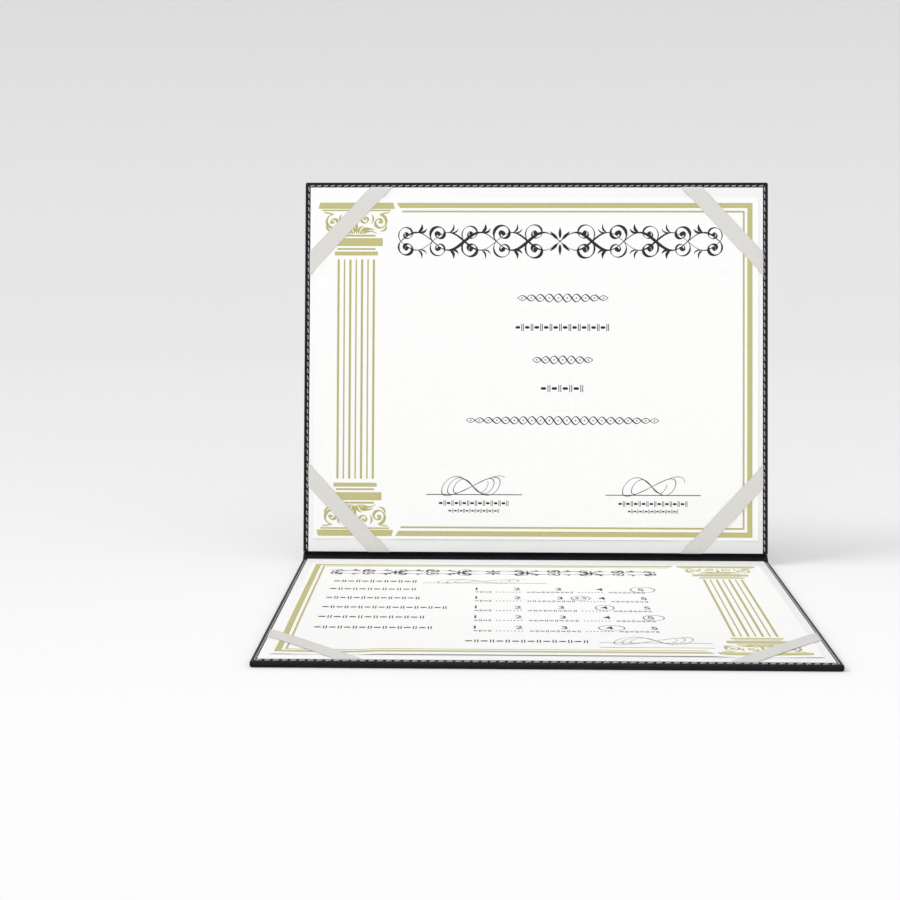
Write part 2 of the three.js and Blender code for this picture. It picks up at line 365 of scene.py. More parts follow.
def rounded_block():
    """The board in its wrap, with folded edges on three sides, running on past the hinge."""
    bm = bmesh.new()
    bmesh.ops.create_cube(bm, size=1.0)
    bmesh.ops.scale(bm, vec=(2 * half_width, depth + overrun, thickness), verts=bm.verts)
    bmesh.ops.translate(bm, vec=(0, (depth - overrun) / 2, thickness / 2), verts=bm.verts)
    corners = edges_where(bm.edges, lambda point: point.y > 0)
    corners = [edge for edge in corners if edge.verts[0].co.xy == edge.verts[1].co.xy]
    round_off(bm, corners, corner_radius, round_steps)
    bm.normal_update()
    flats = [face for face in bm.faces if abs(face.normal.z) > flat_facing]
    rims = list(dict.fromkeys(edge for face in flats for edge in face.edges))
    round_off(bm, rims, nose_radius, round_steps)
    return bm


print("a wrapped edge is rounded by", round(nose_radius / MM, 2), "mm")

# %% [markdown]
# Thread pulls a groove into the leatherette. Planes cut the loops that the groove needs, and the points
# between them are pressed in. On the inner side the turned-in edges end under the card panel, so a
# window is opened there.

# %% Groove and window
turn_in = 14 * MM
inner_side = 0.9 * thickness
seam_setback = 1.0 * MM
seam_inset = 2.3 * MM
groove_flat = 0.80 * MM
groove_slope = 0.34 * MM
inner_groove = 0.10 * MM
outer_groove = 0.30 * MM
hair = 1e-6


def from_edge(point):
    """How far a point lies inside the nearest free edge of the half."""
    return min(half_width - abs(point.x), depth - point.y)


def cut_inside(bm, inset):
    """Cuts along the three free sides, that far inside their edges."""
    cut_across(bm, (half_width - inset, 0, 0), (1, 0, 0))
    cut_across(bm, (inset - half_width, 0, 0), (1, 0, 0))
    cut_across(bm, (0, depth - inset, 0), (0, 1, 0))


def sink_groove(bm):
    """Presses the sewn groove into both faces, along the three free sides."""
    flat = groove_flat / 2
    for offset in (-flat - groove_slope, -flat, flat, flat + groove_slope):
        cut_inside(bm, seam_inset + offset)
    for vert in bm.verts:
        sewn = vert.co.y > wall_face + seam_setback - hair
        if sewn and abs(from_edge(vert.co) - seam_inset) < flat + hair:
            vert.co.z += outer_groove if vert.co.z < thickness / 2 else -inner_groove


def open_window(bm):
    """Takes away what the card panel hides, inside the turned-in edges."""
    cut_inside(bm, turn_in)
    hidden = []
    for face in bm.faces:
        middle = face.calc_center_median()
        if middle.z > inner_side and from_edge(middle) > turn_in:
            hidden.append(face)
    bmesh.ops.delete(bm, geom=hidden, context="FACES")


print("the seam runs", round(seam_inset / MM, 2), "mm inside the edge")

# %% [markdown]
# At the hinge the skin runs on over the crease to the middle of the spine, ring by ring, and each ring is
# turned a little further about the crease. A Solidify modifier then gives the sheet its thickness.

# %% Covers with half the spine each
crease_reach = 0.6 * MM
outer_facing = 0.85


def over_the_crease(bm, edges, reach, level, widen=1.0):
    """Draws edges out over the crease to the middle of the spine, and folds them."""
    start = edges[0].verts[0].co.y
    rings = []
    for along in (reach, reach / 2, 0, -reach / 2, -reach, -spine_half):
        edges, verts = draw_out(bm, edges, (0, along - start, 0))
        start = along
        rings.append((verts, fold * ease((reach - along) / (2 * reach))))
    for verts, turn in rings:
        bmesh.ops.scale(bm, vec=(widen, 1, 1), verts=verts)
        bmesh.ops.rotate(bm, verts=verts, cent=(0, 0, level), matrix=Matrix.Rotation(-turn, 3, "X"))


def make_cover(half):
    """The leatherette of one half, brushed outside, and painted dark as shade where it is turned in."""
    bm = rounded_block()
    cut_across(bm, (0, wall_face, 0), (0, 1, 0), clear=True)
    cut_across(bm, (0, wall_face + seam_setback, 0), (0, 1, 0))
    sink_groove(bm)
    open_window(bm)
    bm.normal_update()
    for face in bm.faces:
        # Only faces that look straight out keep the brushed leatherette; all others get the painted shade
        # copy.
        face.material_index = 0 if face.normal.z < -outer_facing else 1
    hinge = edges_where(bm.edges, lambda point: abs(point.y - wall_face) < hair)
    skin = edges_where(hinge, lambda point: point.z < hair)
    widest = max(abs(vert.co.x) for edge in skin for vert in edge.verts)
    over_the_crease(bm, skin, crease_reach, crease_level, half_width / widest)
    cover = new_piece(f"{half}_leather_cover", bm, half_frames[half], leatherette, edge_leather_painted_shade)
    thicken(cover, leather)
    return cover


covers = {half: make_cover(half) for half in half_frames}

# %% [markdown]
# Each cover's place is written into its mesh. The skin lies flat along each half's own plane and
# turns only at the crease, as it was built.

# %% Put each cover's place into its mesh


def bend_at_crease(piece):
    """Puts a piece's place into its mesh."""
    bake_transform(piece)


for half, cover in covers.items():
    bend_at_crease(cover)
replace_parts(covers["base"], "base_cover", "spine_cover")
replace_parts(covers["display"], "display_cover")
print("each cover bends within", round(2 * crease_reach / MM, 2), "mm at its crease")

# %% [markdown]
# The lining is a thin black leatherette with a pebbled grain. It hides the board's edge at the hinge,
# turns at the foot of that wall and lies on the inside of the spine. It is drawn out from a row of edges
# at that foot, up the wall and over the crease, and only its middle part runs on under the card panel.

# %% Lining of the hinge and the spine
lining, wire = new_finish("lining", Specular_IOR_Level=0.14)
pebbles = wire.noise(1500, 2.0)
shades = wire.noise(120, 2.0)
colour = (pebbles * 0.7 + shades * 0.3).ramp(
    (0.35, (0.0030, 0.0032, 0.0042)),
    (0.60, (0.0090, 0.0094, 0.0120)),
    (0.80, (0.0200, 0.0205, 0.0250)),
)
feed(lining, Base_Color=colour, Roughness=0.36 + 0.3 * pebbles, Normal=pebbles.bump(0.10 * MM))

lining_thickness = 0.4 * MM
lining_reach = 0.85 * MM
lining_level = 1.35 * MM
wall_top = 2.3 * MM
flange_level = 2.75 * MM
flange_length = 15 * MM
glue_gap = 0.1 * MM
lining_half = half_width - leather - glue_gap
flange_half = half_width - turn_in - glue_gap
brow_radius = 0.25 * MM
fold_steps = 3


def make_lining(half):
    """The lining of one half's hinge edge and of the spine next to it."""
    bm = bmesh.new()
    places = (-lining_half, -flange_half, flange_half, lining_half)
    row = [bm.verts.new((x, wall_face, lining_level)) for x in places]
    foot = [bm.edges.new(pair) for pair in zip(row, row[1:])]
    wall, _ = draw_out(bm, foot, (0, 0, wall_top - lining_level))
    middle = edges_where(wall, lambda point: abs(point.x) < flange_half + hair)
    brow, _ = draw_out(bm, middle, (0, 0, flange_level - wall_top))
    draw_out(bm, brow, (0, flange_length, 0))
    over_the_crease(bm, foot, lining_reach, crease_level)
    round_off(bm, brow, brow_radius, fold_steps)
    piece = new_piece(f"{half}_hinge_and_spine_lining", bm, half_frames[half], lining)
    thicken(piece, lining_thickness)
    bend_at_crease(piece)
    return piece


linings = {half: make_lining(half) for half in half_frames}
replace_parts(linings["base"], "base_hinge_lining", "spine_lining")
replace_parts(linings["display"], "display_hinge_lining")

# %% [markdown]
# The boards inside the covers never show, but a part that is taken to pieces should hold them, so the
# frame's own solids stay and get the look of raw grey pulp board.

# %% Greyboard
greyboard, wire = new_finish("greyboard", Roughness=0.95)
pulp = wire.noise(900, 4.0)
feed(
    greyboard,
    Base_Color=pulp.ramp((0.3, (0.19, 0.165, 0.135)), (0.7, (0.32, 0.285, 0.24))),
    Normal=pulp.bump(0.05 * MM),
)
for half in half_frames:
    board = frame["nodes"][f"{half}_board"]
    board.data.materials.clear()
    board.data.materials.append(greyboard)
print("two boards are greyboard")

# %% [markdown]
# The panels are white card with cut edges that are pressed a little round. The sheet that lies on one
# is whiter and smoother, so the card is a touch darker and rougher.

# %% Card panels
card, wire = new_finish("white_card", Specular_IOR_Level=0.3)
felt = wire.noise(700, 4.0)
drift = wire.noise(18, 1.0)
feed(
    card,
    Base_Color=(felt * 0.5 + drift * 0.5).ramp(
        (0.3, (0.880, 0.880, 0.880)),
        (0.7, (0.915, 0.915, 0.912)),
    ),
    Roughness=0.62 + 0.2 * felt,
    Normal=felt.bump(0.03 * MM),
)
pressed_edge = 0.09 * MM
pressed_steps = 2


def make_panel(half):
    """The card of one half, as large as its node."""
    low, high = local_box(f"{half}_insert_panel", half)
    bm = bmesh.new()
    bmesh.ops.create_cube(bm, size=1.0)
    bmesh.ops.scale(bm, vec=high - low, verts=bm.verts)
    bmesh.ops.translate(bm, vec=(low + high) / 2, verts=bm.verts)
    round_off(bm, bm.edges[:], pressed_edge, pressed_steps)
    panel = new_piece(f"{half}_card_panel", bm, half_frames[half], card)
    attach(panel, f"{half}_half")
    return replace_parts(panel, f"{half}_insert_panel")


panels = {half: make_panel(half) for half in half_frames}

# %% [markdown]
# Each sheet has a page frame of its own: its middle is the origin, X runs to the reader's right, Y up
# the page, and Z out of the paper. The print is laid out in it in millimetres. The sheet is held by
# ribbons across its corners, so its lower edge and its sides stand off the card between them, and its
# two lower corners curl up outside them.

# %% Pages
paper_lift = 0.64 * MM
lift_fade = 60 * MM
lift_full = 81 * MM
lift_none = 97 * MM
side_lift = 0.26 * MM
side_fade = 30 * MM
side_full = 40 * MM
side_none = 58 * MM
paper_cell = 2.5 * MM
corner_curl = 0.45 * MM
curl_width = 32 * MM
curl_height = 30 * MM
pages = {}
for half, turned in (("base", math.pi), ("display", 0.0)):
    low, high = local_box(f"{half}_certificate", half)
    middle = Vector(((low.x + high.x) / 2, (low.y + high.y) / 2, high.z))
    placing = half_frames[half] @ Matrix.Translation(middle) @ Matrix.Rotation(turned, 4, "Z")
    pages[half] = {"size": high - low, "placing": placing}
    print(half, "page:", [round(side / MM, 1) for side in high - low], "mm")


def lift_at(point, page):
    """How far the paper stands off at a point of its page."""
    from_side = page["size"].x / 2 - abs(point.x)
    from_below = page["size"].y / 2 + point.y
    across = 1 - ease((abs(point.x) - lift_full) / (lift_none - lift_full))
    up = 1 - ease(from_below / lift_fade)
    along = 1 - ease((abs(point.y) - side_full) / (side_none - side_full))
    inwards = 1 - ease(from_side / side_fade)
    into_corner = 1 - ease(from_side / curl_width + from_below / curl_height)
    return paper_lift * across * up + side_lift * along * inwards + corner_curl * into_corner


# %% [markdown]
# Certificate paper is smooth and bright, with a trace of fibre. The sheet starts as a grid, which the
# lift bends, and then gets its thickness.

# %% Certificate sheets
paper, wire = new_finish("paper", Specular_IOR_Level=0.35)
fibre = wire.noise(420, 5.0)
feed(
    paper,
    Base_Color=fibre.ramp((0.25, (0.925, 0.925, 0.920)), (0.75, (0.955, 0.955, 0.950))),
    Roughness=0.55 + 0.2 * fibre,
    Normal=fibre.bump(0.012 * MM),
)


def make_sheet(half):
    """The paper of one half, lifted between its ribbons."""
    page = pages[half]
    width, height, paper_thickness = page["size"]
    bm = bmesh.new()
    columns, rows = (round(side / paper_cell) for side in (width, height))
    bmesh.ops.create_grid(bm, x_segments=columns, y_segments=rows, size=0.5)
    bmesh.ops.scale(bm, vec=(width, height, 1), verts=bm.verts)
    for vert in bm.verts:
        vert.co.z = lift_at(vert.co, page)
    sheet = new_piece(f"{half}_certificate_sheet", bm, page["placing"], paper, flat=True)
    thicken(sheet, paper_thickness)
    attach(sheet, f"{half}_half")
    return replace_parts(sheet, f"{half}_certificate")


sheets = {half: make_sheet(half) for half in half_frames}

# %% [markdown]
# Print is ink, but it is modelled too: thin flat shapes that lie just above the paper and follow its
# lift, so the pattern stays crisp at any distance and goes with the sheet wherever it is used. There
# are two golds, a darker outline and a lighter core, and a black.

# %% Inks


def ink_finish(name, dark, light):
    """Flat ink that takes up a little unevenly, as print on paper does."""
    finish, wire = new_finish(name, Specular_IOR_Level=0.3)
    uptake = wire.noise(900, 3.0)
    feed(finish, Base_Color=uptake.ramp((0.3, dark), (0.7, light)), Roughness=0.45 + 0.25 * uptake)
    return finish


inks = [
    ink_finish("gold_outline_ink", (0.440, 0.412, 0.150), (0.495, 0.467, 0.182)),
    ink_finish("gold_core_ink", (0.505, 0.476, 0.202), (0.550, 0.521, 0.242)),
    ink_finish("black_ink", (0.0060, 0.0060, 0.0065), (0.0125, 0.0120, 0.0120)),
]
gold_outline, gold_core, black = range(len(inks))
print(len(inks), "inks are mixed")

# %% [markdown]
# Every printed shape is a bar, which is a thin block, or a pen stroke, which is a line with its own width
# at each point. Sizes are given in millimetres from the middle of the page, and the whole print is scaled
# when it is laid on the paper. Long shapes are cut into cells, so that they can follow the paper's lift.

# %% Bars
ink_low = 0.005
ink_high = 0.035
core_high = 0.050
cell = paper_cell / MM


def bar(bm, ink, left, right, bottom, top, slant=0.0):
    """A printed bar, cut into cells. A slant draws its upper ends in."""
    high = core_high if ink == gold_core else ink_high
    middle = Vector(((left + right) / 2, (bottom + top) / 2, (ink_low + high) / 2))
    spread = Matrix.Diagonal((right - left, top - bottom, high - ink_low, 1))
    made = bmesh.ops.create_cube(bm, size=1.0, matrix=Matrix.Translation(middle) @ spread)["verts"]
    for face in {face for vert in made for face in vert.link_faces}:
        face.material_index = ink
    for vert in made:
        if vert.co.y > middle.y:
            vert.co.x -= math.copysign(slant, vert.co.x - middle.x)
    edges = dict.fromkeys(edge for vert in made for edge in vert.link_edges)
    long_edges = [edge for edge in edges if edge.calc_length() > cell]
    if long_edges:
        cuts = int(max(edge.calc_length() for edge in long_edges) // cell)
        bmesh.ops.subdivide_edges(bm, edges=long_edges, cuts=cuts, use_grid_fill=True)


print("ink stands", ink_high, "mm above the paper")

# %% [markdown]
# A pen stroke is a curve with a radius at each point. Blender draws a tube of four sides along it, which
# is pressed flat and closed at its ends. A printed number is a text object that takes the same way, and
# the loose seams of its outline are merged.

# %% Pen strokes
stroke_level = 0.020
stroke_press = 0.03
stroke_sides = 4
loose_seam = 0.001


def add_pressed(bm, ink, drawn, placing, merge=False):
    """Adds a curve or text object as flat ink. Text has loose seams to merge, and tubes open ends."""
    mesh = bpy.data.meshes.new_from_object(drawn)
    shape = bmesh.new()
    shape.from_mesh(mesh)
    shape.transform(placing)
    if merge:
        bmesh.ops.remove_doubles(shape, verts=shape.verts, dist=loose_seam)
        bmesh.ops.dissolve_degenerate(shape, edges=shape.edges, dist=loose_seam)
    bmesh.ops.holes_fill(shape, edges=shape.edges, sides=stroke_sides)
    for face in shape.faces:
        face.material_index = ink
    shape.to_mesh(mesh)
    shape.free()
    bm.from_mesh(mesh)
    data = drawn.data
    bpy.data.objects.remove(drawn)
    bpy.data.curves.remove(data)
    bpy.data.meshes.remove(mesh)


def draw_strokes(bm, ink, strokes):
    """Adds pen strokes, each a list of points with x, y and half the width there."""
    data = bpy.data.curves.new("strokes", "CURVE")
    data.dimensions = "3D"
    data.bevel_depth = 1.0
    data.bevel_resolution = 0
    for stroke in strokes:
        spline = data.splines.new("POLY")
        spline.points.add(len(stroke) - 1)
        for point, (x, y, half_stroke) in zip(spline.points, stroke):
            point.co = (x, y, 0, 1)
            point.radius = half_stroke
    press = Matrix.Translation((0, 0, stroke_level)) @ Matrix.Diagonal((1, 1, stroke_press, 1))
    add_pressed(bm, ink, bpy.data.objects.new("strokes", data), press)


print("strokes are pressed to", stroke_press, "of their height")

# %% [markdown]
# All ornament is made of four strokes: a scroll that winds in to its eye, a leaf that swells and bends, a
# straight rule with round ends, and a round spot. A slanted nib gives a drawn line its thick and thin.

# %% Scrolls, leaves, rules and spots
nib_slant = math.radians(35)
taper_parts = 8
scroll_steps = 40
scroll_pull = 0.85
leaf_steps = 12
leaf_belly = 0.8
leaf_tip = 0.05
cap_turns = [math.pi / 6 * step for step in range(4)]
cap_tip = 0.05
spot_length = 1.02


def with_nib(points, broad, fine):
    """Widths as a slanted nib leaves them: broad where the line runs across it."""
    stroke = []
    for index, (x, y) in enumerate(points):
        before = points[max(index - 1, 0)]
        after = points[min(index + 1, len(points) - 1)]
        course = math.atan2(after[1] - before[1], after[0] - before[0])
        taper = ease(taper_parts * min(index, len(points) - 1 - index) / len(points))
        stroke.append((x, y, fine + (broad - fine) * taper * math.sin(course - nib_slant) ** 2))
    return stroke


def scroll(centre, radius, eye, start, turns):
    """Points of a line that winds in to its eye, anticlockwise for turns above zero."""
    points = []
    for share in shares(scroll_steps):
        reach = radius + (eye - radius) * share**scroll_pull
        angle = start + 2 * math.pi * turns * share
        points.append((centre[0] + reach * math.cos(angle), centre[1] + reach * math.sin(angle)))
    return points


def leaf(start, end, bend, broad):
    """A stroke that swells and bends to one side, like a leaf."""
    start, end = Vector(start), Vector(end)
    sideways = Vector((start.y - end.y, end.x - start.x)) * bend
    stroke = []
    for share in shares(leaf_steps):
        place = start.lerp(end, share) + sideways * math.sin(math.pi * share)
        stroke.append((*place, leaf_tip + broad * math.sin(math.pi * share**leaf_belly)))
    return stroke


def rule(start, end, half_stroke):
    """A straight stroke with round ends, cut into cells."""
    start, end = Vector(start), Vector(end)
    length = (end - start).length
    cap = [(1 - math.cos(turn), max(math.sin(turn), cap_tip)) for turn in cap_turns]
    cap = [(half_stroke * along, half_stroke * wide) for along, wide in cap]
    cells = int(length // cell) + 1
    body = [(length * step / cells, half_stroke) for step in range(1, cells)]
    tip = [(length - along, wide) for along, wide in reversed(cap)]
    return [(*start.lerp(end, along / length), wide) for along, wide in cap + body + tip]


def spot(centre, radius):
    """A round spot: a rule a hair longer than it is wide."""
    x, y = centre
    reach = spot_length * radius
    return rule((x - reach, y), (x + reach, y), radius)


print("four strokes are ready")

# %% [markdown]
# Both sheets share a traditional border: a fluted column on one side, and on the other three sides a
# broad band with a fine line inside it. The band and the line are nested insets of one face, cut open
# beside the column with slanting ends.

# %% Band and line
page_margin = 2.75
outline_width = 0.45
band_rings = (
    (outline_width, gold_outline),
    (2.25, gold_core),
    (outline_width, gold_outline),
    (1.75, None),
    (1.1, gold_outline),
)
band_end = 52.8
end_slant = 0.6
band_snap = 1e-5


def draw_band(bm, width, height, column_side):
    """The band and the line inside it, open on the column's side."""
    spread = Matrix.Diagonal((width - 2 * page_margin, height - 2 * page_margin, 1, 1))
    made = bmesh.ops.create_grid(bm, x_segments=1, y_segments=1, size=0.5, matrix=spread)["verts"]
    middle = list(made[0].link_faces)
    unprinted = middle[:]
    for ring_width, ink in band_rings:
        ring = bmesh.ops.inset_region(
            bm, faces=middle, thickness=ring_width, use_boundary=True, use_even_offset=True
        )["faces"]
        if ink is None:
            unprinted += ring
        else:
            for face in ring:
                face.material_index = ink
    bmesh.ops.delete(bm, geom=unprinted, context="FACES")
    cut_across(bm, (0, 0, 0), (0, 1, 0))
    for upper in (1, -1):
        faces = [face for face in bm.faces if face.calc_center_median().y * upper > 0]
        geometry = dict.fromkeys(item for face in faces for item in (face, *face.edges, *face.verts))
        opening = (column_side * (width / 2 - band_end), upper * (height / 2 - page_margin), 0)
        bmesh.ops.bisect_plane(
            bm, geom=list(geometry), dist=band_snap, plane_co=opening,
            plane_no=(column_side, -upper * end_slant, 0), clear_outer=True,
        )
    for axis, span in ((0, width), (1, height)):
        normal = Vector((1 - axis, axis, 0))
        for number in range(1, int(span // cell) + 1):
            cut_across(bm, normal * (number * cell - span / 2), normal)
    bmesh.ops.translate(bm, vec=(0, 0, ink_high), verts=bm.verts)
    bmesh.ops.solidify(bm, geom=bm.faces[:], thickness=ink_high - ink_low)


print("the band is", round(sum(ring[0] for ring in band_rings), 2), "mm wide with its line")

# %% [markdown]
# The column's head is a row of bars with scrolls and acanthus leaves between them. A bar is given by how
# far it lies inside the page's edge, how tall it is, how far it reaches to each side, how much its upper
# ends draw in, and whether it has a lighter core. Points of the scrolls and side leaves are given by how
# far they lie from the column's middle and below the top of the scrolls, and an acanthus leaf by where
# it starts, how far out its tip is and how high.

# %% Head of the column
head_bars = (
    (2.65, 3.8, 24.2, 1.1, True),
    (7.05, 0.9, 21.7, 0.0, False),
    (22.95, 1.15, 12.0, 0.0, False),
    (25.15, 4.9, 16.65, 0.0, True),
    (31.45, 1.1, 12.1, 0.0, False),
    (33.65, 2.4, 13.6, 0.0, True),
)
scroll_top = 8.6
scroll_height = 13.9
neck_points = ((20.6, 0.3), (18.6, 0.5), (16.6, 0.9))
outer_eye = (14.6, 6.5)
inner_eye = (5.6, 4.6)
middle_leaf_top = 1.2
side_leaves = (((19.3, 8.2), (14.8, 12.2), 0.22, 0.6), ((9.6, 1.4), (9.2, 7.6), 0.2, 0.55))
acanthus = ((1.3, 4.6, 5.1), (2.6, 8.2, 3.8), (3.9, 11.8, 2.5))
small_leaf_root = 0.7
small_leaf_tip = (1.6, -2.6)


def hang(side, top, *points):
    """Places on one side of the column's middle, below a line."""
    return [(side * out, top - drop) for out, drop in points]


def capital_strokes(top):
    """Scrolls and leaves that hang from a line, about the column's middle."""
    foot = top - scroll_height
    strokes = [leaf((0, foot), (0, top - middle_leaf_top), bend=0.0, broad=0.8)]
    for side in (1, -1):
        outer, inner = hang(side, top, outer_eye, inner_eye)
        ear = scroll(outer, radius=5.2, eye=1.0, start=math.pi / 2, turns=-side * 1.4)
        ear = hang(side, top, *neck_points) + ear
        curl = scroll(inner, radius=3.4, eye=0.7, start=math.pi / 2, turns=side * 1.3)
        strokes += [with_nib(ear, broad=0.95, fine=0.36), with_nib(curl, broad=0.75, fine=0.30)]
        strokes += [spot(outer, radius=0.75), spot(inner, radius=0.55)]
        for start, end, bend, broad in side_leaves:
            strokes.append(leaf(*hang(side, top, start, end), side * bend, broad))
        for root, out, high in acanthus:
            start, end = (side * root, foot), (side * out, foot + high)
            strokes.append(leaf(start, end, bend=side * 0.24, broad=0.72))
            start = (side * (root + small_leaf_root), foot)
            end = (side * (out + small_leaf_tip[0]), foot + high + small_leaf_tip[1])
            strokes.append(leaf(start, end, bend=side * 0.2, broad=0.45))
    return strokes


def column_head(height):
    """A mesh of the column's head for a page of that height, about the column's middle."""
    head = bmesh.new()
    rim = outline_width
    for inset, tall, reach, slant, has_core in head_bars:
        top = height / 2 - inset
        bar(head, gold_outline, -reach, reach, top - tall, top, slant)
        if has_core:
            bar(head, gold_core, rim - reach, reach - rim, top - tall + rim, top - rim, slant)
    draw_strokes(head, gold_outline, capital_strokes(height / 2 - scroll_top))
    mesh = bpy.data.meshes.new("head")
    head.to_mesh(mesh)
    head.free()
    return mesh


print("the column's head has", len(head_bars), "bars")

# %% [markdown]
# The column stands on the band's open side. Its head is drawn once and turned over for the foot, and
# flutes of two widths run between them.

# %% Column
column_inset = 27.2
flute_end = 38.5
flute_pitch = 3.72
flute_count = 7
flute_halves = (0.675, 0.44)


def draw_column(bm, width, height, column_side):
    """The column with its head, its flutes and its foot."""
    mesh = column_head(height)
    middle = Matrix.Translation((column_side * (width / 2 - column_inset), 0, 0))
    for placing in (middle, Matrix.Diagonal((1, -1, 1, 1))):
        mesh.transform(placing)
        bm.from_mesh(mesh)
    bpy.data.meshes.remove(mesh)
    flutes = []
    for number in range(flute_count):
        x = middle.translation.x + (number - (flute_count - 1) / 2) * flute_pitch
        reach = height / 2 - flute_end
        flutes.append(rule((x, -reach), (x, reach), flute_halves[number % 2]))
    draw_strokes(bm, gold_outline, flutes)


print("the column has", flute_count, "flutes")

# %% [markdown]
# Every line on the sheets is ornament without letters. The title is a scrolling vine: two stems wave
# away from the middle and cross, with a tendril that winds on wherever a stem turns back. Leaves sit on
# the stem's crests, given by their root and tip along the wave, their rise and their weight.

# %% Vine
fine_share = 0.28
stem_steps = 20
tendril_shrink = 0.04
tendril_eye = 0.16
tendril_turns = 1.45
tendril_spot = 0.2
stem_leaves = ((0.02, 0.08, 0.75, 0.9), (0.05, 0.16, 0.35, 0.65))
leaf_bend = 0.2
petal_turns = (45, 90, 135, 225, 270, 315)
petal_reach = (0.32, 1.6)
petal_weight = 0.9
stem_weights = {1: 1.0, -1: 0.62}


def half_vine(half_waves, wave, swing, curl, broad):
    """One stem with its tendrils and leaves, from the middle to the right."""
    slope = math.atan(swing * 2 * math.pi / wave)
    along_stem = [half_waves * wave / 2 * share for share in shares(stem_steps * half_waves)]
    stem = [(along, swing * math.sin(2 * math.pi * along / wave)) for along in along_stem]
    strokes = [with_nib(stem, broad, fine_share * broad)]
    for number in range(1, half_waves + 1):
        up = 1 if number % 2 == 0 else -1
        turn_back = number * wave / 2
        radius = curl * (1 - tendril_shrink * number)
        x, y = turn_back - radius * math.sin(slope), radius * math.cos(slope)
        tendril = scroll((x, y), radius, tendril_eye * radius, slope - math.pi / 2, tendril_turns)
        tendril = [(along, up * rise) for along, rise in tendril]
        strokes.append(with_nib(tendril, broad, fine_share * broad))
        strokes.append(spot((x, up * y), tendril_spot * radius))
        if number > 1:
            crest = turn_back - wave / 4
            for root, tip, rise, weight in stem_leaves:
                start = (crest - root * wave, -up * swing)
                end = (crest - tip * wave, -up * (swing + rise * curl))
                strokes.append(leaf(start, end, -up * leaf_bend, weight * broad))
    return strokes


def moved(stroke, middle, side=1, up=1):
    """A stroke about a new middle, turned over to either side or downwards if asked to."""
    return [(middle[0] + side * x, middle[1] + up * y, wide) for x, y, wide in stroke]


def vine(middle, half_waves, wave, swing, curl, broad):
    """Two crossing stems, alike to both sides of their middle, with a flower of leaves there."""
    flower = []
    for turn in petal_turns:
        way = Vector((math.cos(math.radians(turn)), math.sin(math.radians(turn)))) * swing
        flower.append(leaf(way * petal_reach[0], way * petal_reach[1], 0.0, petal_weight * broad))
    strokes = [moved(stroke, middle) for stroke in flower]
    for up, weight in stem_weights.items():
        for stroke in half_vine(half_waves, wave, swing, curl, broad * weight):
            strokes += [moved(stroke, middle, side, up) for side in (1, -1)]
    return strokes


print("the vine has", len(petal_turns), "petals")

# %% [markdown]
# The other lines are braids of two strands, or rows of beads and reels as on an old moulding. A leader is
# a row of dashes, and where one signs there is a flourish of the pen over a rule. Their sizes are shares
# of the line's height or of a bead's pitch.

# %% Braid, beads, dashes and flourish
eye_pitch = 1.05
eye_steps = 10
strand_fine = 0.45
eye_spot = 1.1
bead_pitch = 1.35
bead_length = 0.5
bead_half = 0.18
reel_places = (0.66, 0.84)
reel_half = 0.055
dash_half = 0.28
pen_steps = 40
close_up = 0.4
close_in = 0.55
pen_lean = 0.45
pen_widths = (0.27, 0.14)


def braid(middle, width, height, broad):
    """Two strands that cross and draw in to both ends, with a spot in each eye."""
    crossings = round(width / (eye_pitch * height))
    strokes = []
    for side in (1, -1):
        points = []
        for share in shares(eye_steps * crossings):
            swing = side * height / 2 * (0.5 + 0.5 * math.sin(math.pi * share))
            place = (share - 0.5) * width
            points.append((middle[0] + place, middle[1] + swing * math.sin(math.pi * crossings * share)))
        strokes.append(with_nib(points, broad, strand_fine * broad))
    for number in range(crossings):
        place = (number + 0.5) / crossings - 0.5
        strokes.append(spot((middle[0] + place * width, middle[1]), eye_spot * broad))
    return strokes


def upright(x, level, height, half_share):
    """A rule that stands on its end, half as wide as a share of its height."""
    return rule((x, level - height / 2), (x, level + height / 2), half_share * height)


def beads(left, right, level, height):
    """A row of long beads with two upright reels between each pair."""
    count = max(round((right - left) / (bead_pitch * height)), 1)
    pitch = (right - left) / count
    strokes = []
    for number in range(count):
        start = left + number * pitch
        strokes.append(rule((start, level), (start + bead_length * pitch, level), bead_half * height))
        strokes += [upright(start + along * pitch, level, height, reel_half) for along in reel_places]
    return strokes


def dashes(left, right, level, pitch, tall):
    """A leader: a row of short upright dashes."""
    count = int((right - left) // pitch)
    return [upright(left + number * pitch, level, tall, dash_half) for number in range(count + 1)]


def flourish(left, right, level, height, rounds, phase):
    """A pen's flourish: a lying figure of eight that is drawn again and again and closes in."""
    points = []
    for share in shares(pen_steps * rounds):
        turn = 2 * math.pi * rounds * share + phase
        rise = height / 2 * (1 - close_up * share) * math.sin(2 * turn)
        x = (left + right) / 2 + (right - left) / 2 * (1 - close_in * share) * math.cos(turn)
        points.append((x + pen_lean * rise, level + rise))
    return with_nib(points, *pen_widths)


def line_strokes(bead_rows, rules, flourishes, half_stroke):
    """The bead rows, the rules and the flourishes of a page, each drawn from its numbers."""
    strokes = [stroke for row in bead_rows for stroke in beads(*row)]
    strokes += [rule((left, level), (right, level), half_stroke) for left, right, level in rules]
    strokes += [flourish(*written) for written in flourishes]
    return strokes


print("ornaments are ready")

# %% [markdown]
# The certificate has its title, three braids and two rows of beads about one axis, and two flourishes
# over rules, with small beads below. A rule is given by its ends and its level, a bead row also by its
# height, and a flourish by its height, its rounds of the pen and where on them it starts.

